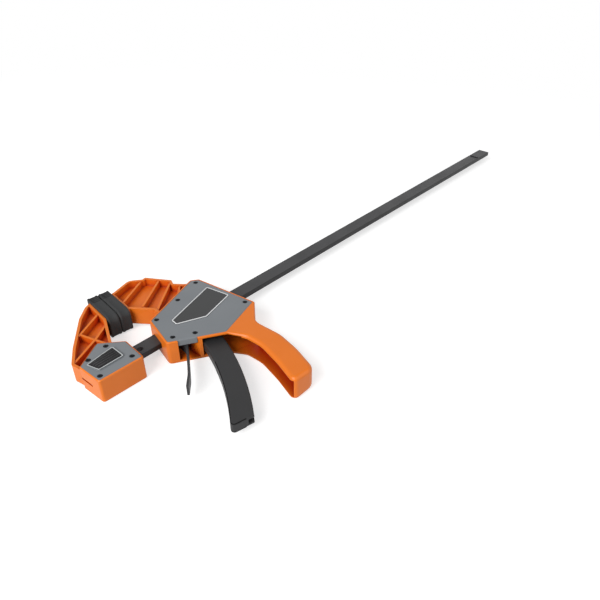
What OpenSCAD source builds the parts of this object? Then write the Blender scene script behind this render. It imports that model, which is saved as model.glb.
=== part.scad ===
// Quick release bar clamp with a pistol grip, lying on its side.
// +X runs along the bar from the fixed jaw to the free end, +Y from the bar towards the jaw
// faces, and +Z up from the surface that the clamp lies on. The origin is on the underside of
// the fixed jaw, straight below the latch that holds this jaw on the bar.
// The clamp is closed here: the two pads meet. All sizes are in millimetres.

/* [Bar] */
// Width of the bar's broad face
bar_w = 19; // [17:0.5:20]
// Thickness of the bar
bar_t = 6; // [5:0.5:7]
// Length of the bar from the latch to its free end
bar_reach = 816; // [500:10:1100]
// Length of the bar from the latch to its end inside the fixed jaw
bar_tail = 20; // [16:1:22]
// Diameter of the latch hole at each end of the bar
latch_hole_d = 7; // [5:0.5:9]
// Distance from the latch to the second hole, just in front of the fixed jaw
second_hole = 37; // [34:1:46]
// Distance from the bar's free end to the middle of the stop key
stop_back = 38; // [20:1:80]
// Thickness of the stop key along the bar
stop_t = 3; // [2:0.5:5]
// Length of the stop key across the bar
stop_w = 14; // [10:0.5:15]
// Height that the stop key stands above each broad face
stop_proud = 1.5; // [1:0.25:2.5]

/* [Bodies] */
// Thickness of both jaw bodies, from the underside to the covers
body_h = 30; // [28:0.5:34]
// Wall of the bodies' floors and sides
wall = 3.5; // [3:0.25:4.5]
// Thickness of the cover plates
cover_t = 2.5; // [2:0.25:3]
// Width of the moving jaw's rim around its cover
rim = 2; // [1.8:0.1:2.5]
// Rounding of the bodies' long edges
edge_r = 1.2; // [0.8:0.1:1.5]
// Rounding of the grip's long edges
grip_r = 4.5; // [3:0.5:4.5]
// Rounding of the grip's lower edge on the palm side
palm_r = 7; // [5:0.5:7.5]
// Distance from the latch to the fixed jaw's front face
head_front = 26; // [24:0.5:30]
// Distance from the latch to the fixed jaw's back face
head_back = 27; // [25:0.5:30]
// Distance from the bar's middle to the fixed jaw's near side
head_below = 25.5; // [24:0.5:28]
// How much further the fixed jaw's front face leans out at its far end
head_slant = 2.3; // [1.5:0.1:3]
// Width of the fixed jaw's rim around its cover
head_rim = 1.4; // [1.2:0.1:2]

/* [Arms] */
// Height of the arms' flanges
arm_h = 22; // [18:0.5:26]
// Thickness of the arms' web
web_t = 4; // [3:0.5:6]
// Thickness of the flange that runs round an arm
flange_t = 3.2; // [2.5:0.1:4]
// Thickness of the arms' ribs
rib_t = 2.6; // [2:0.1:3.5]
// How far the ribs stay below the flange's edge
rib_drop = 0.8; // [0.4:0.1:3]

/* [Pads] */
// Length of a jaw pad
pad_l = 55; // [50:0.5:58]
// Height of a jaw pad
pad_h = 28; // [25:0.5:29]
// Thickness of a jaw pad
pad_t = 13.5; // [12:0.5:16]
// Distance from the bar's middle to the middle of the pads
throat = 83; // [80:0.5:86]
// Distance from the latch to the middle of the closed pads
face_x = 52.7; // [51:0.1:54]
// Toe-in angle of the clamping faces
face_tilt = 5.5; // [4:0.1:7]
// Thickness of the nose plate that a pad is pushed onto
nose_t = 4; // [3:0.5:5]
// Depth of the nose plate inside the pad, from the pad's back
nose_in = 2.5; // [2:0.25:4]
// Gap between the closed pads
pad_gap = 0.3; // [0.2:0.05:0.5]
// Depth of the grooves in a clamping face
groove_deep = 0.8; // [0.4:0.1:1.2]

/* [Trigger] */
// Radius of the trigger's front curve
trigger_bend = 325; // [310:5:345]
// Depth of the trigger, front to back
trigger_deep = 23.5; // [21:0.5:24]
// Length of the trigger's hand side, from its nose to the tip
trigger_l = 165; // [150:1:168]
// How much further the front edge runs at the slanted tip
tip_slant = 11.5; // [4:0.5:14]
// Rounding of the trigger's front corner at the tip
tip_r = 4; // [2:0.5:5]
// Thickness of the trigger, across the clamp
trigger_w = 12; // [11.5:0.5:16]
// Wall of the trigger
trigger_wall = 3; // [2:0.1:3.5]
// Depth of the notch in the trigger's tip
tip_notch = 6; // [4:0.5:9]
// Diameter of the trigger's pivot pin
pivot_d = 6; // [5:0.5:7]

/* [Clamping action] */
// Thickness of each drive plate
drive_t = 2.5; // [2:0.1:3]
// Number of drive plates
drive_count = 2; // [1:1:2]
// Travel of the drive plates when the trigger is squeezed
drive_push = 7.8; // [6:0.1:8]
// Thickness of the brake plate and its release tail
brake_t = 2.5; // [2:0.1:3]
// Lean of the brake plate at rest, in degrees
brake_lean = 8; // [6:0.5:9]
// Width of the release tail
tail_w = 13; // [10:0.5:15]
// Thickness of the two guide plates
guide_t = 3; // [2.5:0.25:3.5]
// Outer diameter of the springs round the bar
spring_d = 23.4; // [23.2:0.1:23.8]
// Wire diameter of the drive spring
drive_wire = 1.3; // [1:0.1:1.4]
// Wire diameter of the brake spring
brake_wire = 1.1; // [0.9:0.1:1.2]

/* [Quick change latch] */
// Travel of the button
button_press = 2; // [1.5:0.1:2.2]
// Height of the button above its cover
button_proud = 2; // [2:0.1:3]
// Height of the cover's raised border round the button
border_proud = 1.5; // [0.8:0.1:1.8]
// Width of that border
border_t = 1.5; // [1.2:0.1:2]
// Thickness of the latch plate below the bar
latch_t = 2.8; // [2:0.1:3.5]
// Height of the latch stub inside the bar's hole
stub_in = 1.8; // [1.5:0.1:1.9]
// Outer diameter of the latch spring
latch_spring_d = 9; // [8:0.5:11]

/* [Fasteners and fits] */
// Head diameter of the cover screws
screw_head_d = 5.6; // [5:0.1:6.5]
// Thread diameter of the cover screws
screw_d = 3; // [2.5:0.1:3.5]
// Length of the cover screws under the head
screw_l = 12; // [8:0.5:14]
// Depth of the screw heads below the cover's surface
screw_sink = 0.6; // [0.4:0.1:1]
// Gap between sliding faces
slide_fit = 0.15; // [0.1:0.05:0.3]
// Gap round turning pins
pin_fit = 0.05; // [0.03:0.01:0.09]
// Gap between faces that pass or rest against each other
free_gap = 0.3; // [0.25:0.05:0.5]

/* [Hidden] */

mid_z = body_h / 2;
seat_z = body_h - cover_t;
stop_x = bar_reach - stop_back;
slot_w = bar_w + 2 * slide_fit;
slot_t = bar_t + 2 * slide_fit;
fine = 48;
tiny = 0.02;

// Colours as they look in daylight
orange = [0.91, 0.42, 0.16];
grey = [0.50, 0.52, 0.54];
black = [0.16, 0.16, 0.17];
steel = [0.26, 0.26, 0.27];
bright = [0.70, 0.71, 0.73];

// ---- Outlines -------------------------------------------------------------

function unit(v) = v / norm(v);
function flat(p) = [p.x, p.y];

// Arc that rounds the corner b, with radius b[2], between the corners a and c
function corner_arc(a, b, c, n) =
    let (u = unit(flat(a) - flat(b)), w = unit(flat(c) - flat(b)), half = acos(u * w) / 2)
    let (centre = flat(b) + unit(u + w) * b[2] / sin(half))
    let (from = flat(b) + u * b[2] / tan(half) - centre)
    let (to = flat(b) + w * b[2] / tan(half) - centre)
    let (start = atan2(from.y, from.x), swing = atan2(to.y, to.x) - start)
    let (turn = swing > 180 ? swing - 360 : swing < -180 ? swing + 360 : swing)
    [for (i = [0:n]) centre + b[2] * [cos(start + turn * i / n), sin(start + turn * i / n)]];

// Closed outline from corners [x, y] or [x, y, rounding]
function rounded(corners, n = 5) =
    let (count = len(corners))
    [for (i = [0:count - 1])
        let (b = corners[i])
        each len(b) > 2 && b[2] > 0
            ? corner_arc(corners[(i + count - 1) % count], b, corners[(i + 1) % count], n)
            : [flat(b)]];

// The same anticlockwise outline, moved inwards by d, or at each point by its own d
function inset(pts, d) =
    let (count = len(pts))
    [for (i = [0:count - 1])
        let (e = unit(pts[i] - pts[(i + count - 1) % count]))
        let (f = unit(pts[(i + 1) % count] - pts[i]))
        let (m = unit([-e.y - f.y, e.x + f.x]))
        pts[i] + m * (is_list(d) ? d[i] : d) / (m * [-e.y, e.x])];

// Anticlockwise corners moved inwards by d, with roundings that stay about the same centres
function shrink(corners, d) =
    let (pts = [for (c = corners) flat(c)], moved = inset(pts, d), count = len(pts))
    [for (i = [0:count - 1])
        let (e = pts[i] - pts[(i + count - 1) % count], f = pts[(i + 1) % count] - pts[i])
        let (r = len(corners[i]) > 2 ? corners[i][2] + (e.x * f.y > e.y * f.x ? -d : d) : 0)
        r > 0.4 ? [moved[i].x, moved[i].y, r] : moved[i]];

// Band of the given width along an open line of points
function band(pts, width) =
    let (last = len(pts) - 1)
    let (side = [for (i = [0:last])
        let (e = unit(pts[max(i, 1)] - pts[max(i, 1) - 1]))
        let (f = unit(pts[min(i, last - 1) + 1] - pts[min(i, last - 1)]))
        let (m = unit([-e.y - f.y, e.x + f.x]))
        m * width / 2 / (m * [-e.y, e.x])])
    concat([for (i = [0:last]) pts[i] - side[i]], [for (i = [last:-1:0]) pts[i] + side[i]]);

// Smooth line through the given points, with n steps from each to the next
function curve(pts, n = 4) =
    let (last = len(pts) - 1)
    concat([for (i = [0:last - 1], k = [0:n - 1])
        let (p = pts[max(i - 1, 0)], q = pts[i], r = pts[i + 1], s = pts[min(i + 2, last)], t = k / n)
        q + (r - p) * t / 2 + (2 * p - 5 * q + 4 * r - s) * t ^ 2 / 2
            + (3 * q - p - 3 * r + s) * t ^ 3 / 2], [pts[last]]);

// Points of an arc about c, from angle a0 to a1
function arc(c, r, a0, a1, n) = [for (i = [0:n]) let (a = a0 + (a1 - a0) * i / n) c + r * [cos(a), sin(a)]];

// Solid between z0 and z1 on an anticlockwise outline. Its long edges are rounded by r,
// which is one radius or a list with a radius for each point. The rounding's first and last
// facets run past z0 and z1, so that each broad face is one flat cut. The edges at z0 have a
// list of their own in low_r where they differ.
module soft_prism(pts, z0, z1, r, steps = 1, low_r = []) {
    n = len(pts);
    radii = is_list(r) ? r : [for (p = pts) r];
    low_radii = len(low_r) > 0 ? low_r : radii;
    xs = [for (p = pts) p.x];
    ys = [for (p = pts) p.y];
    past = 0.3;
    first = 90 / steps;
    ways = concat([[1 + past * sin(first), -past * (1 - cos(first))]],
        [for (k = [1:steps]) [1 - sin(k * first), 1 - cos(k * first)]]);
    lower = [for (w = ways) let (ring = inset(pts, low_radii * w[0])) each
        [for (i = [0:n - 1]) [ring[i].x, ring[i].y, z0 + low_radii[i] * w[1]]]];
    upper = [for (k = [steps:-1:0]) let (w = ways[k], ring = inset(pts, radii * w[0])) each
        [for (i = [0:n - 1]) [ring[i].x, ring[i].y, z1 - radii[i] * w[1]]]];
    rings = 2 * (steps + 1);
    sides = [for (j = [0:rings - 2], i = [0:n - 1])
        let (a = j * n + i, b = j * n + (i + 1) % n) each [[a, a + n, b + n], [a, b + n, b]]];
    floor_face = [for (i = [0:n - 1]) i];
    top_face = [for (i = [n - 1:-1:0]) (rings - 1) * n + i];
    intersection() {
        polyhedron(concat(lower, upper), concat([floor_face], sides, [top_face]), convexity = 8);
        span([min(xs), min(ys), z0], [max(xs), max(ys), z1]);
    }
}

module slab(pts, z0, z1) {
    translate([0, 0, z0]) linear_extrude(z1 - z0, convexity = 8) polygon(pts);
}

// Box from its low corner to its high corner
module span(low, high) {
    translate(low) cube(high - low);
}

// Room for the bar between two places along it
module bar_way(x0, x1) {
    span([x0, -slot_w / 2, mid_z - slot_t / 2], [x1, slot_w / 2, mid_z + slot_t / 2]);
}

// Helical spring along +X: each turn has eight rings of six sides. The rings stand near the
// corners of a flat bar inside the spring, and away from the floor below it.
module coil(from_x, to_x, outer_d, wire, turns) {
    rings = round(turns * 8);
    radius = (outer_d - wire) / 2;
    run = to_x - from_x - wire;
    path = [for (i = [0:rings]) let (a = 45 * i + 22.5)
        [from_x + wire / 2 + run * i / rings, radius * cos(a), radius * sin(a)]];
    spots = [for (i = [0:rings]) let (a = 45 * i + 22.5, out = [0, cos(a), sin(a)]) each
        [for (k = [0:5]) path[i] + wire / 2 * (cos(60 * k) * [1, 0, 0] + sin(60 * k) * out)]];
    skin = [for (i = [0:rings - 1], k = [0:5]) each
        [[i * 6 + k, (i + 1) * 6 + k, (i + 1) * 6 + (k + 1) % 6],
         [i * 6 + k, (i + 1) * 6 + (k + 1) % 6, i * 6 + (k + 1) % 6]]];
    caps = [[for (k = [0:5]) k], [for (k = [5:-1:0]) rings * 6 + k]];
    polyhedron(spots, concat(skin, caps), convexity = 8);
    gap = run / turns - wire;
    echo(str("least gap between turns: ", gap));
}

// ---- Bar ------------------------------------------------------------------

module bar() {
    color(steel) difference() {
        span([-bar_tail, -bar_w / 2, mid_z - bar_t / 2], [bar_reach, bar_w / 2, mid_z + bar_t / 2]);
        for (x = [0, second_hole])
            translate([x, 0, 0]) cylinder(d = latch_hole_d, h = body_h, $fn = fine);
        span([stop_x - stop_t / 2, -stop_w / 2, 0], [stop_x + stop_t / 2, stop_w / 2, body_h]);
    }
}

module stop_key() {
    half_h = bar_t / 2 + stop_proud;
    color(bright)
        span([stop_x - stop_t / 2, -stop_w / 2, mid_z - half_h],
            [stop_x + stop_t / 2, stop_w / 2, mid_z + half_h]);
}

// ---- Clamping faces and pads ----------------------------------------------

// Frame of the clamping faces: +X out of the fixed pad, +Y along the face away from the bar
module at_faces() {
    translate([face_x, throat, mid_z]) rotate([0, 0, -face_tilt]) children();
}
function face_point(p) =
    [face_x + p.x * cos(face_tilt) + p.y * sin(face_tilt),
     throat - p.x * sin(face_tilt) + p.y * cos(face_tilt)];

nose_x = pad_t - nose_in;
nose_l = pad_l - 9;
nose_h = arm_h - 3;
neck_l = nose_l - 5;

// Pad seen from its clamping face: a wide round at the near end, a tight one at the far end
pad_outline = rounded([[-pad_l / 2, -pad_h / 2, 9], [pad_l / 2, -pad_h / 2, 4],
    [pad_l / 2, pad_h / 2, 4], [-pad_l / 2, pad_h / 2, 9]], 6);

// Rubber boot whose face lies in the plane x = 0 and whose back opens round the nose plate
module pad() {
    difference() {
        rotate([90, 0, 90]) soft_prism(pad_outline, -pad_t, 0, 1.2);
        span([-nose_x, -nose_l / 2, -nose_h / 2], [-nose_x + nose_t, nose_l / 2, nose_h / 2]);
        span([-pad_t - 1, -neck_l / 2, -nose_h / 2 + 2], [-nose_x + tiny, neck_l / 2, nose_h / 2 - 2]);
        for (y = [-pad_l / 2 + 11:6.5:pad_l / 2 - 6])
            span([-groove_deep, y - 0.8, -pad_h / 2 + 4], [1, y + 0.8, pad_h / 2 - 4]);
    }
}

// Plate and neck at the end of an arm, in the frame of the fixed pad
module nose() {
    span([-nose_x, -nose_l / 2, -nose_h / 2], [-nose_x + nose_t, nose_l / 2, nose_h / 2]);
    span([-pad_t - 1, -neck_l / 2, -nose_h / 2 + 2], [-nose_x + tiny, neck_l / 2, nose_h / 2 - 2]);
}

module fixed_pad() {
    color(black) at_faces() pad();
}

module moving_pad() {
    color(black) at_faces() translate([pad_gap, 0, 0]) mirror([1, 0, 0]) pad();
}

// ---- Arms -----------------------------------------------------------------

// I-section arm: a thin web, a flange round its outline and ribs across it
module arm(corners, ribs) {
    core = rounded(shrink(corners, flange_t / 2), 4);
    slab(core, mid_z - web_t / 2, mid_z + web_t / 2);
    difference() {
        slab(rounded(corners, 4), mid_z - arm_h / 2, mid_z + arm_h / 2);
        slab(rounded(shrink(corners, flange_t), 4), mid_z - arm_h, mid_z + arm_h);
    }
    intersection() {
        slab(core, mid_z - arm_h / 2 + rib_drop, mid_z + arm_h / 2 - rib_drop);
        for (rib = ribs)
            slab(band(rib, rib_t), 0, body_h);
    }
}

near_back = face_point([-pad_t, -neck_l / 2]);
far_back = face_point([-pad_t, neck_l / 2]);
fixed_arm_line = [
    [head_front - 3, -4], [head_front - 3, 10], [18, 23, 6],
    [near_back.x, near_back.y], [far_back.x, far_back.y],
    [far_back.x - 8, far_back.y - 3.2, 2], [16.5, 86.5, 10], [-15.5, 45.5, 40],
    [-30.5, 22.5, 5], [-head_back - 1, 8], [-head_back + 2, -4]];
fixed_ribs = [
    [[-30, 22], [10, 42]], [[10, 42], [38, 60]], [[0, 60], [42, 83]], [[2, 63], [16.5, 18]]];

near_front = face_point([pad_t + pad_gap, -neck_l / 2]);
far_front = face_point([pad_t + pad_gap, neck_l / 2]);
moving_arm_line = [
    [84, 18], [152, 32], [153, 46], [141.5, 55, 2], [133.5, 65, 1], [137, 73, 2],
    [118, 102.5, 2], [113.5, 101, 1], [100, 111.5, 10], [far_front.x + 5, far_front.y + 1, 2],
    [far_front.x, far_front.y], [near_front.x, near_front.y], [near_front.x + 2.5, near_front.y, 2],
    [85, 38.5, 3]];
moving_ribs = [
    [[66, 76], [113, 101.5]], [[80, 54], [127, 85.5]], [[88, 36], [136, 73]], [[112, 30], [138, 58]]];

// ---- Fixed jaw ------------------------------------------------------------

head_corners = [
    [-head_back, -head_below + 1, 3], [head_front, -head_below, 3], [head_front + head_slant, 10, 3],
    [4.5, 30.4, 3.5], [-head_back - 1.8, 9.5, 3]];
head_line = rounded(head_corners);
fixed_cover_line = rounded(shrink(head_corners, head_rim));
fixed_screws = [[18, -16], [-21.2, -17.8], [-16.4, 11.9], [8.5, 18]];
button_line = rounded([[-17, -9.5, 1.5], [10.5, -9, 1.5], [10.5, 9, 1.5], [-21, 4, 1.5]], 3);
button_flange = 1.5;
pocket_x = 14;
leg_y = slot_w / 2 + 3;
pocket_y = leg_y + 3.5;
stub_top = mid_z - bar_t / 2 + stub_in;
latch_top = mid_z - bar_t / 2 - 0.7;

module screw_ways(spots, depth) {
    for (p = spots)
        translate([p.x, p.y, seat_z - depth]) cylinder(d = screw_d, h = depth + cover_t, $fn = fine);
}

module fixed_jaw() {
    color(orange) difference() {
        union() {
            soft_prism(head_line, 0, body_h, edge_r);
            arm(fixed_arm_line, fixed_ribs);
            at_faces() nose();
        }
        slab(fixed_cover_line, seat_z, body_h + 1);
        bar_way(-bar_tail - slide_fit, head_front + head_slant + 1);
        span([-head_back - 3, -bar_w / 2, mid_z - 1.5], [-bar_tail, bar_w / 2, mid_z + 1.5]);
        span([-pocket_x, -pocket_y, wall], [pocket_x, pocket_y, seat_z + 1]);
        slab(inset(button_line, -button_flange - free_gap), seat_z - button_press - 2, seat_z + 1);
        screw_ways(fixed_screws, screw_l + 1 - cover_t + 2);
    }
}

module cover_holes(spots) {
    for (p = spots) translate([p.x, p.y, seat_z]) {
        cylinder(d = screw_d + 0.4, h = cover_t, $fn = fine);
        translate([0, 0, cover_t - 1.6 - screw_sink])
            cylinder(d = screw_head_d + 0.4, h = cover_t, $fn = fine);
    }
}

// Pan head screws whose heads sit in the covers' recesses
module screws(spots) {
    for (p = spots) translate([p.x, p.y, body_h - screw_sink]) {
        difference() {
            translate([0, 0, -1.6]) cylinder(d = screw_head_d, h = 1.6, $fn = fine);
            for (a = [0, 90]) rotate([0, 0, a]) span([-1.6, -0.35, -0.9], [1.6, 0.35, 1]);
        }
        translate([0, 0, -1.6 - screw_l]) cylinder(d = screw_d, h = screw_l + tiny, $fn = fine);
    }
}

module fixed_cover() {
    color(grey) difference() {
        union() {
            soft_prism(fixed_cover_line, seat_z, body_h, 0.5);
            slab(inset(button_line, -free_gap - border_t), seat_z + 1, body_h + border_proud);
        }
        slab(inset(button_line, -free_gap), seat_z - 1, body_h + 2);
        cover_holes(fixed_screws);
    }
}

module fixed_cover_screws() {
    color(black) screws(fixed_screws);
}

// Push button with a flange under the cover and two legs that pass the bar
module change_button() {
    flange_top = seat_z - free_gap;
    color(black) {
        soft_prism(button_line, flange_top - tiny, body_h + button_proud, 0.6);
        slab(inset(button_line, -button_flange), flange_top - 1.7, flange_top);
        for (side = [-1, 1])
            span([-4, side * leg_y - 1.5, latch_top], [4, side * leg_y + 1.5, flange_top - 1.6]);
        span([-5, -leg_y - 1.5, flange_top - 1.7], [5, leg_y + 1.5, flange_top - 0.2]);
    }
}

module latch_plate() {
    color(bright) {
        span([-8, -leg_y - 2, latch_top - latch_t], [8, leg_y + 2, latch_top]);
        translate([0, 0, latch_top - tiny])
            cylinder(d = latch_hole_d - 2 * pin_fit, h = stub_top - latch_top + tiny, $fn = fine);
    }
}

module latch_spring() {
    color(bright) rotate([0, -90, 0])
        coil(wall, latch_top - latch_t, latch_spring_d, 0.7, 3);
}

// ---- Moving jaw -----------------------------------------------------------

front_low = [54, -26.5, 5];
near_corner = [111, -60.5, 4];
rear_low = [171.5, -41, 4];
rear_high = [158.5, 44.5, 4];
far_corner = [149, 51, 4];
front_high = [65.5, 20, 4.5];
grip_tip_y = -168;

palm_side = [
    [133, grip_tip_y, 10], [144.3, -134, 140], [150, -104, 50], [148.5, -82, 20], [146.5, -67, 14]];

// Housing and pistol grip in one outline: down the grip's trigger side, up its palm side
body_line = rounded(concat([
    front_low, [near_corner.x, near_corner.y, 2], [120.5, -80, 25], [121.5, -102, 40],
    [114, -133, 120], [103, grip_tip_y + 2, 6]], palm_side,
    [rear_low, rear_high, far_corner, front_high]));
// The long edges are tight round the housing and wide round the grip, most of all under the palm
grip_top_y = -62;
grip_blend = 18;
grip_mid_x = 122;
function on_grip(p) = min(max((grip_top_y - p.y) / grip_blend, 0), 1);
body_rounding = [for (p = body_line) edge_r + (grip_r - edge_r) * on_grip(p)];
body_low_rounding = [for (p = body_line)
    edge_r + ((p.x > grip_mid_x ? palm_r : grip_r) - edge_r) * on_grip(p)];

main_cover_line = rounded(shrink([front_low, near_corner, rear_low, rear_high, far_corner, front_high], rim));
near_slope = (near_corner.y - front_low.y) / (near_corner.x - front_low.x);
// Near edge of the cover at a place along the bar
function cover_y(x) = front_low.y + (x - front_low.x) * near_slope + rim * sqrt(1 + near_slope ^ 2);
main_screws = [[65.7, -22.6], [87, -34.5], [163.5, -33], [150.5, 41.5], [112.8, 28.5], [72.6, 15.6]];
panel_line = rounded([
    [81.5, -8, 2.5], [114.5, -22, 2.5], [160.5, -9, 2.5], [153.5, 24, 2.5], [82.5, 2, 2.5]], 3);
panel_deep = 0.8;

// Guide plates stand in slots across the bar, in front of the brake and behind the drive
front_guide_x = 66.5;
rear_guide_x = 157.5;
guide_w = bar_w + 8;

// Brake plate: its top edge rocks in a notch of the housing
brake_x = 80.5;
brake_y = 17;
brake_end = bar_w / 2 + 7.5;
brake_wall_x = 89.5;
drive_wall_x = 92;

// Trigger: an arc whose nose, on the hand side, pushes the drive plates. It pivots beyond the bar.
nose_point = [120.6, -15];
nose_angle = -11.4;
back_bend = trigger_bend + trigger_deep;
bend_c = nose_point - back_bend * [cos(nose_angle), sin(nose_angle)];
pivot = [nose_point.x - 5.3, 17];
drive_x = nose_point.x + free_gap;
drive_end = drive_x + drive_count * drive_t;
push_end = drive_end + drive_push + 1;
plate_y = [-bar_w / 2 - 7.5, bar_w / 2 + 3.5];

chamber_z0 = wall;
plate_half = mid_z - chamber_z0 - 0.5;
spring_room = spring_d / 2 + 0.8;
brake_room = [
    [front_guide_x + guide_t + 1, -17], [64, -33.5], [64, -48], [84, -58], [84, -46], [83, -30],
    [brake_wall_x, -22], [brake_wall_x, spring_room], [brake_x + 2.5, spring_room],
    [brake_x + 2.5, brake_y + 4], [brake_x - 2.8, brake_y + 4], [brake_x - 2.8, 11.5],
    [front_guide_x + guide_t + 1, 11.5]];
drive_room = [
    [drive_wall_x, -24], [87, -40], [87, -58], [100, -75], [150, -75], [154, -40],
    [rear_guide_x, -22], [rear_guide_x, spring_room], [push_end, spring_room],
    [push_end, plate_y[1] + 0.5], [pivot.x + 9, 27], [pivot.x - 5, 27], [drive_wall_x, 14]];
grip_wall = 4.2;
grip_room = rounded(concat([
    [90, -62], [84, -100], [90, grip_tip_y + grip_wall], [100, grip_tip_y + grip_wall]],
    [for (p = palm_side) [p.x - grip_wall, max(p.y, grip_tip_y + grip_wall), p[2]]],
    [[138, -50], [100, -50]]), 6);
tab_x = [64.5, 83.5];
tab_h = 4.6;
tab_line = [for (c = [[0, 1], [0, -1], [1, -1], [1, 1]])
    let (x = tab_x[c[0]] + free_gap * (1 - 2 * c[0])) [x, cover_y(x) + c[1]]];
tab_notch = [for (c = [[0, 1 + free_gap], [0, -20], [1, -20], [1, 1 + free_gap]])
    [tab_x[c[0]], cover_y(tab_x[c[0]]) + c[1]]];

module moving_jaw() {
    color(orange) difference() {
        union() {
            soft_prism(body_line, 0, body_h, body_rounding, 3, body_low_rounding);
            arm(moving_arm_line, moving_ribs);
            at_faces() translate([pad_gap, 0, 0]) mirror([1, 0, 0]) nose();
        }
        slab(main_cover_line, seat_z, body_h + 1);
        // Rooms of the brake, the drive and the hollow grip
        difference() {
            union() {
                slab(brake_room, chamber_z0, seat_z + tiny);
                slab(drive_room, chamber_z0, seat_z + tiny);
            }
            // The near wall stays above and below the two mouths
            slab([[50, -30], [112, -65], [160, -80], [160, -90], [50, -90]], 0, chamber_z0 + 1);
            for (p = [main_screws[1], main_screws[4], main_screws[5]])
                translate([p.x, p.y, 0]) cylinder(r = screw_d / 2 + 2.2, h = body_h, $fn = fine);
        }
        slab(grip_room, chamber_z0 + 0.5, body_h - chamber_z0 - 0.5);
        bar_way(front_low.x - 2, rear_low.x + 1);
        for (x = [front_guide_x, rear_guide_x])
            span([x, -guide_w / 2, mid_z - plate_half], [x + guide_t, guide_w / 2, seat_z + tiny]);
        // Round way for the springs
        translate([front_guide_x + guide_t, 0, mid_z]) rotate([0, 90, 0])
            cylinder(d = spring_d + 2 * free_gap, h = rear_guide_x - front_guide_x - guide_t, $fn = fine);
        // Notch for the cover's tab over the release lever
        slab(tab_notch, seat_z - tab_h - free_gap, body_h + 1);
        translate([pivot.x, pivot.y, wall / 2])
            cylinder(d = pivot_d + 2 * pin_fit, h = body_h, $fn = fine);
        screw_ways(main_screws, screw_l + 1);
    }
}

module main_cover() {
    color(grey) difference() {
        union() {
            soft_prism(main_cover_line, seat_z, body_h, 0.5);
            // Tab that hangs over the mouth of the release lever
            slab(tab_line, seat_z - tab_h, body_h - 0.6);
        }
        slab(inset(panel_line, -free_gap), body_h - panel_deep, body_h + 1);
        cover_holes(main_screws);
    }
}

// Bare panel with a raised border, let into the cover
module name_panel() {
    color(black) difference() {
        soft_prism(panel_line, body_h - panel_deep, body_h + 0.4, 0.3);
        slab(inset(panel_line, 1.6), body_h + 0.1, body_h + 1);
    }
}

module main_cover_screws() {
    color(black) screws(main_screws);
}

// ---- Guides ---------------------------------------------------------------

module guide(x) {
    color(bright) difference() {
        span([x, -guide_w / 2, mid_z - plate_half], [x + guide_t, guide_w / 2, mid_z + plate_half]);
        bar_way(x - 1, x + guide_t + 1);
    }
}

module front_guide() {
    guide(front_guide_x);
}

module rear_guide() {
    guide(rear_guide_x);
}

// ---- Brake ----------------------------------------------------------------

plate_low_y = -36;
tail_top = [brake_x - (brake_y - plate_low_y) * tan(brake_lean), plate_low_y];
tail_line = concat([[brake_x, brake_y + 2]],
    curve([tail_top, [60, -54], [46.5, -72], [39.5, -79.5], [33.2, -86]]));

// Steel plate round the bar whose near end is bent into the release tail
module brake_lever() {
    slot_y = bar_w / 2 + brake_t / 2 * sin(brake_lean) + 0.35;
    lean_x = brake_x - brake_y * tan(brake_lean);
    color(steel) difference() {
        union() {
            intersection() {
                slab(band([tail_line[0], tail_line[1]], brake_t), mid_z - plate_half, mid_z + plate_half);
                span([0, -brake_end, 0], [brake_x + brake_t, brake_y + 3, body_h]);
            }
            slab(band(tail_line, brake_t), mid_z - tail_w / 2, mid_z + tail_w / 2);
        }
        span([lean_x - 8, -slot_y, mid_z - bar_t / 2 - slide_fit],
            [lean_x + 8, slot_y, mid_z + bar_t / 2 + slide_fit]);
    }
}

module brake_spring() {
    color(bright) translate([0, 0, mid_z])
        coil(brake_x - brake_y * tan(brake_lean) + 4.2, brake_wall_x, spring_d, brake_wire, 3);
}

// ---- Trigger and drive ----------------------------------------------------

front_start = asin((nose_point.y - bend_c.y) / trigger_bend);
// Angles of the tip at the hand side and at the front
back_tip = nose_angle - trigger_l / back_bend * 180 / PI;
front_tip = back_tip - tip_slant / trigger_bend * 180 / PI;
// Curved lever, from the nose down the hand's side and back up the front
function tip_corner(r) = concat(bend_c + trigger_bend * [cos(front_tip), sin(front_tip)], [r]);
trigger_line = rounded(concat(
    arc(bend_c, back_bend, nose_angle, back_tip, 12), [tip_corner(tip_r)],
    arc(bend_c, trigger_bend, front_tip + 1.5, front_start, 12)));
// Room that opens towards the hand, and the notch where it meets the tip
room_end = back_tip + 0.4;
trigger_room = concat(
    arc(bend_c, back_bend + 5, nose_angle - 1.8, room_end, 10),
    arc(bend_c, trigger_bend + trigger_wall, room_end, front_start - 1.5, 10));
notch_line = concat(
    arc(bend_c, back_bend + 5, back_tip + 3, back_tip - 3, 4),
    arc(bend_c, back_bend - tip_notch, back_tip - 3, back_tip + 3, 4));
cheek_line = rounded([
    [bend_c.x + trigger_bend * cos(front_start) + 1, nose_point.y - 1],
    [nose_point.x - 0.5, nose_point.y - 1],
    [pivot.x + 5.3, pivot.y, 5], [pivot.x + 3, pivot.y + 7, 4], [pivot.x - 4, pivot.y + 7, 4],
    [pivot.x - 7, pivot.y, 6]]);

module trigger() {
    half = trigger_w / 2;
    cheek = half - bar_t / 2 - slide_fit - free_gap;
    color(black) difference() {
        union() {
            soft_prism(reverse(trigger_line), mid_z - half, mid_z + half, 1.8, 2);
            slab(cheek_line, mid_z - half, mid_z - half + cheek);
            slab(cheek_line, mid_z + half - cheek, mid_z + half);
        }
        for (line = [trigger_room, notch_line])
            slab(reverse(line), mid_z - half + trigger_wall, mid_z + half - trigger_wall);
        translate([pivot.x, pivot.y, 0]) cylinder(d = pivot_d + 2 * pin_fit, h = body_h, $fn = fine);
    }
}

function reverse(pts) = [for (i = [len(pts) - 1:-1:0]) pts[i]];

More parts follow.
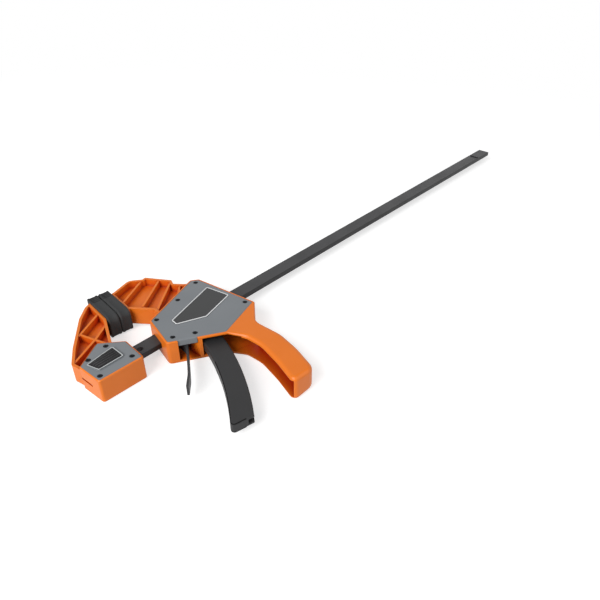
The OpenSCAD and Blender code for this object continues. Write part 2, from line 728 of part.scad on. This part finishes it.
module trigger_pin() {
    color(bright) translate([pivot.x, pivot.y, wall / 2])
        cylinder(d = pivot_d, h = seat_z - wall / 2 - 0.1, $fn = fine);
}

module drive_plates() {
    color(bright) for (i = [0:drive_count - 1]) difference() {
        span([drive_x + i * drive_t + (i > 0 ? tiny : 0), plate_y[0], mid_z - plate_half],
            [drive_x + (i + 1) * drive_t, plate_y[1], mid_z + plate_half]);
        bar_way(drive_x - 1, drive_end + 1);
    }
}

module drive_spring() {
    color(bright) translate([0, 0, mid_z]) coil(drive_end, rear_guide_x, spring_d, drive_wire, 6);
}

bar();
stop_key();
fixed_jaw();
fixed_cover();
fixed_cover_screws();
fixed_pad();
change_button();
latch_plate();
latch_spring();
moving_jaw();
main_cover();
name_panel();
main_cover_screws();
moving_pad();
front_guide();
rear_guide();
brake_lever();
brake_spring();
trigger();
trigger_pin();
drive_plates();
drive_spring();
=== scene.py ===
import math

import bmesh
import bpy
from mathutils import Matrix, Vector


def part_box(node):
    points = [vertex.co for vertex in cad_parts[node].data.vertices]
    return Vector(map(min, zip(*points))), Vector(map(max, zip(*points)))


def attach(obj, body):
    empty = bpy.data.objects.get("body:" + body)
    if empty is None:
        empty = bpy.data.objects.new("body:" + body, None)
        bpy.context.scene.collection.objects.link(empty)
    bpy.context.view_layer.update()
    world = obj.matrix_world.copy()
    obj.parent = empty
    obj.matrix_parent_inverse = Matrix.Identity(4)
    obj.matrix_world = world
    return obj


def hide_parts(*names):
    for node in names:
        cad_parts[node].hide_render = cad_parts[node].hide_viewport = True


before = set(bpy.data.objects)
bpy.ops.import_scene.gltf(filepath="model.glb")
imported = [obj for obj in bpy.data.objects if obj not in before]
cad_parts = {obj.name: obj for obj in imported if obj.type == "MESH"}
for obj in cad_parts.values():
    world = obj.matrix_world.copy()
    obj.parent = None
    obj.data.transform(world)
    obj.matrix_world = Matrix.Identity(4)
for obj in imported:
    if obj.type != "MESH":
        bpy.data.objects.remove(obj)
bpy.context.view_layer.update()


# ---- Table and light ------------------------------------------------------------
# The clamp lies on its side on a pale table that fades to white with distance. A broad lamp
# on the left, a weaker one on the right and a bright room all round give the soft light.

class Value:
    """A shader socket that takes part in Python arithmetic."""

    def __init__(self, finish, socket):
        self.finish, self.socket = finish, socket

    def math(self, operation, first, second):
        return self.finish.node("ShaderNodeMath", {"operation": operation}, {0: first, 1: second})

    def __add__(self, other):
        return self.math("ADD", self, other)

    def __sub__(self, other):
        return self.math("SUBTRACT", self, other)

    def __rsub__(self, other):
        return self.math("SUBTRACT", other, self)

    def __mul__(self, other):
        return self.math("MULTIPLY", self, other)

    def __gt__(self, other):
        return self.math("GREATER_THAN", self, other)

    def __lt__(self, other):
        return self.math("LESS_THAN", self, other)

    __radd__ = __add__


class Finish:
    """A material, a world or any other owner of a shader tree, and the nodes put in it."""

    def __init__(self, owner):
        owner.use_nodes = True
        self.owner = owner
        self.tree = owner.node_tree
        self.tree.nodes.clear()

    def node(self, kind, settings=None, sockets=None, output=0):
        """Adds a node, sets or links its sockets, and gives the named output."""
        made = self.tree.nodes.new(kind)
        for key, value in (settings or {}).items():
            setattr(made, key, value)
        for key, value in (sockets or {}).items():
            if isinstance(value, Value):
                self.tree.links.new(value.socket, made.inputs[key])
            elif isinstance(value, tuple) and made.inputs[key].type == "RGBA":
                made.inputs[key].default_value = (*value, 1)
            else:
                made.inputs[key].default_value = value
        return Value(self, made.outputs[output]) if made.outputs else None

    def blend(self, share, first, second):
        """Colour that goes from first to second as share goes from 0 to 1."""
        return self.node("ShaderNodeMix", {"data_type": "RGBA"}, {0: share, 6: first, 7: second}, 2)

    def seen_directly(self):
        """1 where the camera sees a thing itself or in a reflection, 0 for light that bounces."""
        return (self.node("ShaderNodeLightPath", output="Is Camera Ray")
                + self.node("ShaderNodeLightPath", output="Is Glossy Ray")) > 0.5


def placed(name, data):
    """Object made from a mesh, lamp or camera, put in the scene."""
    thing = bpy.data.objects.new(name, data)
    bpy.context.scene.collection.objects.link(thing)
    return thing


bpy.context.scene.view_settings.view_transform = "Standard"
WHITE = (1.0, 1.0, 1.0)
room_light = 0.30
room = Finish(bpy.data.worlds.new("studio_room"))
bpy.context.scene.world = room.owner
seen = room.seen_directly()
glow = room.node("ShaderNodeBackground", sockets={"Color": WHITE, "Strength": room_light})
backdrop = room.node("ShaderNodeBackground", sockets={"Color": WHITE, "Strength": 1.0})
room.node("ShaderNodeOutputWorld", sockets={
    "Surface": room.node("ShaderNodeMixShader", sockets={0: seen, 1: glow, 2: backdrop})})

table_glow = 0.60
table_white = (0.60, 0.60, 0.60)
fade_from, fade_to = 0.95, 1.35
table = Finish(bpy.data.materials.new("pale_table"))
direct = table.seen_directly()
lit = table.node("ShaderNodeBsdfDiffuse", sockets={"Color": table_white})
lift = table.node("ShaderNodeEmission", sockets={"Color": WHITE, "Strength": table_glow})
both = table.node("ShaderNodeAddShader", sockets={0: lit, 1: lift})
from_middle = table.node("ShaderNodeVectorMath", {"operation": "LENGTH"}, {
    0: table.node("ShaderNodeNewGeometry", output="Position")}, "Value")
far_off = (from_middle - fade_from) * (1 / (fade_to - fade_from))
plain = table.node("ShaderNodeEmission", sockets={"Color": WHITE, "Strength": 1.0})
faded = table.node("ShaderNodeMixShader", sockets={0: far_off, 1: both, 2: plain})
table.node("ShaderNodeOutputMaterial", sockets={
    "Surface": table.node("ShaderNodeMixShader", sockets={0: direct, 1: lit, 2: faded})})

table_reach = 12.0
sheet_mesh = bpy.data.meshes.new("table_top")
sheet_mesh.from_pydata(
    [(x * table_reach, y * table_reach, 0) for x, y in ((-1, -1), (1, -1), (1, 1), (-1, 1))],
    [], [(0, 1, 2, 3)])
table_top = placed("table_top", sheet_mesh)
table_top.data.materials.append(table.owner)

lamp_target = (0.12, 0.0, 0.02)


def lamp(name, place, power, size):
    """Square lamp that looks at the heads of the clamp."""
    light = bpy.data.lights.new(name, "AREA")
    light.energy, light.size = power, size
    holder = placed(name, light)
    holder.location = place
    holder.rotation_mode = "QUATERNION"
    holder.rotation_quaternion = (Vector(lamp_target) - Vector(place)).to_track_quat("-Z", "Y")


lamp("key_lamp", (-2.63, -0.38, 2.20), power=128.0, size=2.25)
lamp("fill_lamp", (0.98, -2.40, 1.48), power=19.0, size=2.2)


# ---- Camera ---------------------------------------------------------------------
# A short lens, close to the heads and well above the table, so the bar runs away to the
# upper right.

camera = bpy.data.cameras.new("camera")
camera.sensor_width = 36.0
camera.lens = 34.906
eye = placed("camera", camera)
turn, height, roll = math.radians(-47.94), math.radians(35.67), math.radians(0.15)
back = Vector((math.sin(turn) * math.cos(height), -math.cos(turn) * math.cos(height),
               math.sin(height)))
right = Vector((math.cos(turn), math.sin(turn), 0))
facing = Matrix((right, back.cross(right), back)).transposed()
eye.rotation_euler = (facing @ Matrix.Rotation(roll, 3, "Z")).to_euler()
eye.location = (-0.20517, -0.45280, 0.43106)
bpy.context.scene.camera = eye


# ---- Orange jaw bodies ----------------------------------------------------------
# Both jaw bodies are moulded in a filled resin, one piece each with its ribbed arm, and the
# sliding one with its pistol grip. Painted shade darkens and reddens the colour in pockets,
# corners and the channel.

MM = 0.001
patch_scale, patch_share, fine_share = 28.0, 0.7, 0.3
patch_roughness, fine_roughness = 0.12, 0.08


def grained(name, light, dark, roughness, grain, depth, metallic=0.0, edge=0.5,
            stretch=(1, 1, 1), gloss=0.3, accents=()):
    """Moulded or ground surface: two close tones in soft patches, a fine grain and eased edges.

    Each accent is a pair: a rule that marks part of the surface, and the colour there.
    """
    finish = Finish(bpy.data.materials.new(name))
    place = finish.node("ShaderNodeTexCoord", output="Object")
    along = finish.node("ShaderNodeMapping", sockets={"Vector": place, "Scale": stretch})
    patches = finish.node("ShaderNodeTexNoise", sockets={
        "Vector": place, "Scale": patch_scale, "Detail": 3.0})
    fine = finish.node("ShaderNodeTexNoise", sockets={
        "Vector": along, "Scale": grain, "Detail": 2.0})
    eased = finish.node("ShaderNodeBevel", {"samples": 6}, {"Radius": edge * MM})
    bumped = finish.node("ShaderNodeBump", sockets={
        "Strength": 1.0, "Distance": depth * MM, "Height": fine, "Normal": eased})
    tone = finish.blend(patches * patch_share + fine * fine_share, light, dark)
    for marks, colour in accents:
        tone = finish.blend(marks(finish, place), tone, colour)
    uneven = (roughness + (patches - 0.5) * patch_roughness + (fine - 0.5) * fine_roughness)
    surface = finish.node("ShaderNodeBsdfPrincipled", sockets={
        "Base Color": tone, "Roughness": uneven, "Metallic": metallic,
        "Specular IOR Level": gloss, "Normal": bumped})
    finish.node("ShaderNodeOutputMaterial", sockets={"Surface": surface})
    return finish.owner


def dress(node, material):
    """Gives a carried-over part its finish."""
    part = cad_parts[node]
    part.data.materials.clear()
    part.data.materials.append(material)


def coordinate(finish, place, axis):
    """One coordinate of a place."""
    return finish.node("ShaderNodeSeparateXYZ", sockets={0: place}, output=axis)


def painted_hollow_shade(reach, share):
    """Rule that marks pockets and corners by occlusion, for painted shade that darkens and reddens
    the colour there.
    """
    def marks(finish, place):
        open_sky = finish.node("ShaderNodeAmbientOcclusion", {"samples": 8, "only_local": True},
                               {"Distance": reach * MM}, "AO")
        return (1 - open_sky) * share
    return marks


# Painted shade: the inside of the grip's channel is darkened to a deep red.
grip_start, grip_full = -24 * MM, -34 * MM
channel_shade_rule = painted_hollow_shade(40.0, 3.0)


def painted_channel_shade(finish, place):
    """Marks the inside of the grip's channel for painted shade, more strongly the further in it
    lies.
    """
    along_grip = finish.node("ShaderNodeMapRange", sockets={
        "Value": coordinate(finish, place, "Y"), "From Min": grip_start, "From Max": grip_full})
    return (channel_shade_rule(finish, place) - 1.0) * along_grip


# Painted shade: darker, redder oranges for pockets, corners and the grip's channel.
hollow_shade_orange, corner_shade_orange = (0.56, 0.060, 0.002), (0.34, 0.022, 0.001)
channel_shade_orange = (0.36, 0.010, 0.0)
orange = grained("orange_resin", (0.780, 0.184, 0.008), (0.700, 0.155, 0.005),
                 roughness=0.42, grain=1500.0, depth=0.030, gloss=0.42,
                 accents=((painted_hollow_shade(14.0, 1.2), hollow_shade_orange),
                          (painted_hollow_shade(3.5, 1.1), corner_shade_orange),
                          (painted_channel_shade, channel_shade_orange)))
dress("fixed_jaw", orange)
dress("moving_jaw", orange)


# ---- Grey covers ----------------------------------------------------------------
# Flat plates of grey resin that close both bodies. They lie flush in a rim and are held by
# small black screws.

cover_tones = (0.208, 0.222, 0.236), (0.168, 0.181, 0.194)
cover_grain = {"roughness": 0.50, "grain": 1700.0, "depth": 0.022}
# Painted highlight: a light grey line along the raised border round the button.
border_highlight_grey = (0.56, 0.58, 0.58)
border_level = 30.3 * MM
insert_corners = ((-17.0, -9.5), (10.5, -9.0), (10.5, 9.0), (-21.0, 4.0))
line_from, line_to = 0.35 * MM, 1.15 * MM


def edges_round(corners):
    """Both ends of each edge of an outline."""
    return zip(corners, corners[1:] + corners[:1])


def painted_border_highlight(finish, place):
    """Marks a thin line along the raised border round the button, for a painted highlight."""
    x, y, z = (coordinate(finish, place, axis) for axis in "XYZ")
    outside = None
    for start, end in edges_round(insert_corners):
        run = Vector(end) - Vector(start)
        out = Vector((run.y, -run.x)).normalized()
        past = x * out.x + y * out.y - out.dot(Vector(start)) * MM
        outside = past if outside is None else outside.math("MAXIMUM", outside, past)
    return (outside > line_from) * (outside < line_to) * (z > border_level)


dress("main_cover", grained("grey_resin", *cover_tones, **cover_grain))
dress("fixed_cover", grained("grey_resin_border_highlight", *cover_tones, **cover_grain,
                             accents=((painted_border_highlight, border_highlight_grey),)))

black_screw = grained("black_screw", (0.020, 0.021, 0.023), (0.013, 0.014, 0.016),
                      roughness=0.42, grain=2200.0, depth=0.01, metallic=0.7, edge=0.2)
dress("fixed_cover_screws", black_screw)
dress("main_cover_screws", black_screw)


# ---- Panel ----------------------------------------------------------------------
# A dark plate let into the main cover, with a thin raised border that is printed light. Its
# middle is left bare.

border_height = 0.15
panel_grain, panel_depth = 1900.0, 0.015
panel_roughness, panel_uneven = 0.42, 0.1
darker = 0.7


def bordered(name, inside, border, level):
    """Dark plate whose part above a level is light."""
    finish = Finish(bpy.data.materials.new(name))
    place = finish.node("ShaderNodeTexCoord", output="Object")
    fine = finish.node("ShaderNodeTexNoise", sockets={
        "Vector": place, "Scale": panel_grain, "Detail": 2.0})
    high = coordinate(finish, place, "Z") > level
    field = finish.blend(fine, inside, tuple(darker * c for c in inside))
    tone = finish.blend(high, field, border)
    bumped = finish.node("ShaderNodeBump", sockets={
        "Distance": panel_depth * MM, "Height": fine})
    surface = finish.node("ShaderNodeBsdfPrincipled", sockets={
        "Base Color": tone, "Roughness": panel_roughness + fine * panel_uneven,
        "Normal": bumped})
    finish.node("ShaderNodeOutputMaterial", sockets={"Surface": surface})
    return finish.owner


panel_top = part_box("name_panel")[1].z
dress("name_panel", bordered("panel_print", (0.024, 0.025, 0.026), (0.66, 0.67, 0.68),
                             panel_top - border_height * MM))


# ---- Trigger and change button --------------------------------------------------
# Black filled resin with a fine matte grain. Thin beads of a darker black along the trigger's
# edges are painted shade, for the shaded line there. The button's top has low ribs along it,
# so that a thumb doesn't slip; they are coloured lighter than the button as a painted highlight.

black = grained("black_resin", (0.026, 0.026, 0.027), (0.018, 0.018, 0.019),
                roughness=0.50, grain=1600.0, depth=0.030)
dress("trigger", black)
button_resin = grained("button_resin", (0.011, 0.011, 0.012), (0.007, 0.007, 0.008),
                       roughness=0.46, grain=1600.0, depth=0.03, gloss=0.20)
# Painted highlight: the ribs use a lighter, glossier copy of the button's black resin.
rib_highlight_resin = grained("button_rib_highlight_resin", (0.034, 0.034, 0.036), (0.022, 0.022, 0.024),
                    roughness=0.46, grain=1600.0, depth=0.03, gloss=0.30)
dress("change_button", button_resin)

# Painted shade: a darker black for the beads along the trigger's edges.
shade_bead_black = grained("trigger_shade_bead", (0.008, 0.008, 0.008), (0.004, 0.004, 0.004),
                     roughness=0.8, grain=1600.0, depth=0.01, gloss=0.1)
bend_centre = Vector((-221.02, 53.88))
bend, hand_bend = 325.0, 348.5
trigger_top, trigger_low = 21.0, 9.0
front_end, hand_end = -40.554, -38.527
tip_round, tip_steps = 4.0, 8
up_step = 1.5
shade_bead_in, shade_bead_radius = 0.62, 0.5
shade_bead_start, shade_bead_sweep, shade_bead_steps = -24, 15.4, 40
heel_steps = (3.0, 6.0, 9.0, 11.0)


def round_point(angle):
    """Point on a circle of radius 1, at an angle in radians."""
    return Vector((math.cos(angle), math.sin(angle)))


def on_bend(radius, angle):
    """Point on a curve about the trigger's own centre, at an angle in degrees."""
    return bend_centre + radius * round_point(math.radians(angle))


def finished(name, mesh, material):
    """Object in the scene, made from a mesh under construction."""
    bmesh.ops.recalc_face_normals(mesh, faces=mesh.faces)
    for face in mesh.faces:
        face.smooth = True
    data = bpy.data.meshes.new(name)
    mesh.to_mesh(data)
    mesh.free()
    data.materials.append(material)
    return placed(name, data)


def tube(name, path, radius, material, body, sides=10):
    """Round bead along a path of points in millimetres, closed at both ends."""
    mesh = bmesh.new()
    rings = []
    for i, place in enumerate(path):
        along = (path[min(i + 1, len(path) - 1)] - path[max(i - 1, 0)]).normalized()
        side = along.cross(Vector((0, 0, 1))).normalized()
        up = side.cross(along)
        turns = [2 * math.pi * k / sides for k in range(sides)]
        rings.append([mesh.verts.new(MM * (place + radius * (
            math.cos(a) * side + math.sin(a) * up))) for a in turns])
    for first, second in zip(rings, rings[1:]):
        for k in range(sides):
            after = (k + 1) % sides
            mesh.faces.new((first[k], first[after], second[after], second[k]))
    mesh.faces.new(rings[0][::-1])
    mesh.faces.new(rings[-1])
    piece = finished(name, mesh, material)
    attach(piece, body)


tip, heel = on_bend(bend, front_end), on_bend(hand_bend, hand_end)
to_heel = (heel - tip).normalized()
up_front = (on_bend(bend, front_end + up_step) - tip).normalized()
half_turn = math.acos(to_heel.dot(up_front)) / 2
hub = tip + (to_heel + up_front).normalized() * tip_round / math.sin(half_turn)
shade_bead_line = [on_bend(bend + shade_bead_in, shade_bead_start - shade_bead_sweep * k / shade_bead_steps)
             for k in range(shade_bead_steps + 1)]
tip_from = math.atan2(*(shade_bead_line[-1] - hub).yx)
tip_to = math.atan2(*(tip + to_heel * tip_round / math.tan(half_turn) - hub).yx)
tip_to += 2 * math.pi * round((tip_from - tip_to) / (2 * math.pi))
tip_sweep = tip_to - tip_from
shade_bead_line += [hub + (tip_round - shade_bead_in) * round_point(tip_from + tip_sweep * k / tip_steps)
              for k in range(1, tip_steps + 1)]
shade_bead_line += [shade_bead_line[-1] + to_heel * step for step in heel_steps]
for name, level in (("trigger_shade_bead_top", trigger_top - shade_bead_in),
                    ("trigger_shade_bead_low", trigger_low + shade_bead_in)):
    tube(name, [Vector((*place, level)) for place in shade_bead_line], shade_bead_radius, shade_bead_black,
         "trigger_lever")

button_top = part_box("change_button")[1].z / MM
thumb_rows = (-6.4, -3.2, 0.0, 3.2, 6.4)
thumb_radius, thumb_proud, thumb_in = 0.6, 0.3, 1.9
thumb_level = button_top - thumb_radius + thumb_proud
for number, row in enumerate(thumb_rows, 1):
    ends = [x + (next_x - x) * (row - y) / (next_y - y)
            for (x, y), (next_x, next_y) in edges_round(insert_corners)
            if min(y, next_y) < row < max(y, next_y)]
    tube(f"button_rib_{number}",
         [Vector((min(ends) + thumb_in, row, thumb_level)),
          Vector((max(ends) - thumb_in, row, thumb_level))],
         thumb_radius, rib_highlight_resin, "change_latch")


# ---- Bar and release lever ------------------------------------------------------
# Flat steel, drawn to size and blackened. Fine lines run along it. The pieces inside the
# heads are bright steel.

drawn = {"roughness": 0.46, "grain": 900.0, "depth": 0.012, "metallic": 0.35, "edge": 0.4,
         "stretch": (0.03, 1, 1)}
dark_steel = grained("blackened_steel", (0.052, 0.052, 0.054), (0.034, 0.034, 0.036), **drawn)
# Painted shade: the bar is darker along its two long edges.
bar_edge, edge_shade_share = 8.4 * MM, 0.85
edge_shade_black = (0.013, 0.013, 0.014)


def painted_edge_shade(finish, place):
    """Marks the two long edges of the bar, darkened there as painted shade."""
    across = coordinate(finish, place, "Y")
    return (across * across > bar_edge ** 2) * edge_shade_share


dress("bar", grained("blackened_bar", (0.064, 0.064, 0.066), (0.032, 0.032, 0.034), **drawn,
                     accents=((painted_edge_shade, edge_shade_black),)))
dress("brake_lever", dark_steel)
dress("stop_key", dark_steel)

bright_steel = grained("bright_steel", (0.56, 0.57, 0.59), (0.45, 0.46, 0.48),
                       roughness=0.34, grain=1200.0, depth=0.01, metallic=1.0, edge=0.2)
for inner in ("latch_plate", "latch_spring", "front_guide", "rear_guide", "trigger_pin",
              "brake_spring", "drive_spring", "drive_plates"):
    dress(inner, bright_steel)


# ---- Jaw pads -------------------------------------------------------------------
# Soft black rubber boots, moulded in one piece and pushed onto the nose plates of both arms.
# The ends away from the bar are ribbed so that they can be gripped and pulled off.

pad_long, pad_high, pad_thick = 55.0, 28.0, 13.5
pad_gap = 0.3
face_place, face_turn = (52.7, 83, 15), math.radians(-5.5)
top_near_round, low_near_round, far_round = 9.0, 3.5, 2.0
rim_round = 2.1
back_round = 1.0
waist_deep = 0.45
waist_from, waist_full = 2.2, 2.9
waist_until, waist_gone = 1.4, 0.7
rib_pitch, rib_deep, rib_from, rib_until = 3.1, 1.2, 14.0, 0.6
groove_from, groove_pitch, groove_wide, groove_deep = -16.5, 6.5, 1.6, 0.8
groove_count, groove_margin = 6, 4
groove_slope, groove_fade = 0.25, 0.4
nose_back, nose_front = -11.0, -7.0
neck_half, plate_half = (20.5, 7.5), (23.1, 9.6)
columns, rows = 132, 14
end_columns, end_arc = 7, 32

# Painted shade: the rubber is made near black in its small hollows, such as the rib valleys.
rubber = grained("pad_rubber", (0.050, 0.051, 0.052), (0.031, 0.032, 0.033),
                 roughness=0.66, grain=1100.0, depth=0.05, gloss=0.16,
                 accents=((painted_hollow_shade(2.5, 1.6), (0.006, 0.006, 0.007)),))


def edge_height(y, near_round):
    """Height of the boot's long edge above its middle, at a place along it, with the far ribs."""
    from_far = pad_long / 2 - y
    past_near = near_round - (y + pad_long / 2)
    past_far = far_round - from_far
    drop = 0.0
    if past_near > 0:
        drop = near_round - math.sqrt(max(near_round ** 2 - past_near ** 2, 0.0))
    if past_far > 0:
        drop = far_round - math.sqrt(max(far_round ** 2 - past_far ** 2, 0.0))
    ribs = 0.0
    if far_round * rib_until < from_far < rib_from:
        ribs = (0.5 - 0.5 * math.cos(2 * math.pi * (rib_from - from_far) / rib_pitch)) ** 2
    return pad_high / 2 - drop - rib_deep * ribs


def column_places():
    """Places along the boot: evenly spread, and closer together in both rounded ends."""
    places = [-pad_long / 2 + pad_long * i / columns for i in range(columns + 1)]
    for radius, side in ((top_near_round, -1), (low_near_round, -1), (far_round, 1)):
        places += [side * (pad_long / 2 - radius * (1 - math.cos(math.pi * k / end_arc)))
                   for k in range(1, end_columns + 1)]
    return sorted(set(round(place, 4) for place in places))


along_pad = column_places()
last = len(along_pad) - 1


def rim_of(grid):
    """The outermost points of a grid[column][row], once round."""
    bottom = [grid[i][0] for i in range(last + 1)]
    far = [grid[last][j] for j in range(1, rows)]
    top = [grid[i][rows] for i in range(last, -1, -1)]
    near = [grid[0][j] for j in range(rows - 1, 0, -1)]
    return bottom + far + top + near


rim_keys = rim_of([[(i, j) for j in range(rows + 1)] for i in range(last + 1)])


def boot_grid(half_long=None, half_wide=None):
    """Points (y, z) of the boot's outline and inside it, or of a plain rectangle."""
    grid = []
    for y in along_pad:
        low = -(half_wide or edge_height(y, low_near_round))
        high = half_wide or edge_height(y, top_near_round)
        scale = half_long / (pad_long / 2) if half_long else 1.0
        grid.append([(y * scale, low + (high - low) * j / rows) for j in range(rows + 1)])
    return grid


def drawn_in(ring, depth):
    """The same outline, moved inwards by a depth."""
    moved = []
    count = len(ring)
    for i, (y, z) in enumerate(ring):
        before, after = ring[i - 2], ring[(i + 2) % count]
        run = (after[0] - before[0], after[1] - before[1])
        size = math.hypot(*run)
        moved.append((y - run[1] / size * depth, z + run[0] / size * depth))
    return moved


def held(share):
    """A share, held between 0 and 1."""
    return min(max(share, 0.0), 1.0)


def groove(y, z):
    """How deep the cross grooves of the clamping face are at a point of it."""
    beside = min(abs(y - (groove_from + groove_pitch * k)) for k in range(groove_count))
    across = held((groove_wide / 2 - beside) / groove_slope + 0.5)
    ends = held((pad_high / 2 - groove_margin - abs(z)) / groove_fade + 0.5)
    return groove_deep * across * ends


def boot(name, node, body, sign, shift):
    """One boot. Its clamping face looks along +X of the pads' own frame, or -X where sign is -1."""
    mesh = bmesh.new()
    to_jaws = Matrix.Translation(face_place) @ Matrix.Rotation(face_turn, 4, "Z")

    def point(x, y, z):
        return mesh.verts.new(MM * (to_jaws @ Vector((sign * x + shift, y, z))))

    def bridge(first, second):
        """Closes the strip between two rings."""
        count = len(first)
        for i in range(count):
            j = (i + 1) % count
            mesh.faces.new((first[i], first[j], second[j], second[i]))

    def fill(ring, grid, place):
        """Closes a ring with a grid whose outermost points are that ring."""
        corner = dict(zip(rim_keys, ring))
        for i in range(last + 1):
            for j in range(1, rows):
                if (i, j) not in corner:
                    corner[i, j] = place(*grid[i][j])
        for i in range(last):
            for j in range(rows):
                mesh.faces.new((corner[i, j], corner[i + 1, j],
                                corner[i + 1, j + 1], corner[i, j + 1]))

    # Each step is a place from the back to the face, and how far the outline is drawn in there.
    outline = rim_of(boot_grid())
    steps = [(-pad_thick, back_round)]
    steps += [(-pad_thick + back_round * (1 - math.cos(a)), back_round * (1 - math.sin(a)))
              for a in (math.pi / 6, math.pi / 3, math.pi / 2)]
    steps += [(-pad_thick + waist_from, 0.0), (-pad_thick + waist_full, waist_deep),
              (-rim_round - waist_until, waist_deep), (-rim_round - waist_gone, 0.0),
              (-rim_round, 0.0)]
    steps += [(-rim_round * (1 - math.sin(a)), rim_round * (1 - math.cos(a)))
              for a in (math.pi / 8, math.pi / 4, 3 * math.pi / 8, math.pi / 2)]
    skins = [[point(x, *p) for p in drawn_in(outline, depth)] for x, depth in steps]
    for first, second in zip(skins, skins[1:]):
        bridge(first, second)
    ring_at = dict(zip(rim_keys, drawn_in(outline, rim_round)))
    inner = [[tuple(a + (b - a) * j / rows for a, b in zip(ring_at[i, 0], ring_at[i, rows]))
              for j in range(rows + 1)] for i in range(last + 1)]
    fill(skins[-1], inner, lambda y, z: point(-groove(y, z), y, z))

    neck = rim_of(boot_grid(*neck_half))
    pocket = rim_of(boot_grid(*plate_half))
    opening = [[point(-pad_thick, *p) for p in neck], [point(nose_back, *p) for p in neck],
               [point(nose_back, *p) for p in pocket], [point(nose_front, *p) for p in pocket]]
    bridge(opening[0], skins[0])
    for first, second in zip(opening, opening[1:]):
        bridge(second, first)
    fill(opening[-1], boot_grid(*plate_half), lambda y, z: point(nose_front, y, z))

    piece = finished(name, mesh, rubber)
    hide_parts(node)
    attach(piece, body)


boot("fixed_boot", "fixed_pad", "bar_and_fixed_jaw", 1, 0.0)
boot("moving_boot", "moving_pad", "sliding_head", -1, pad_gap)
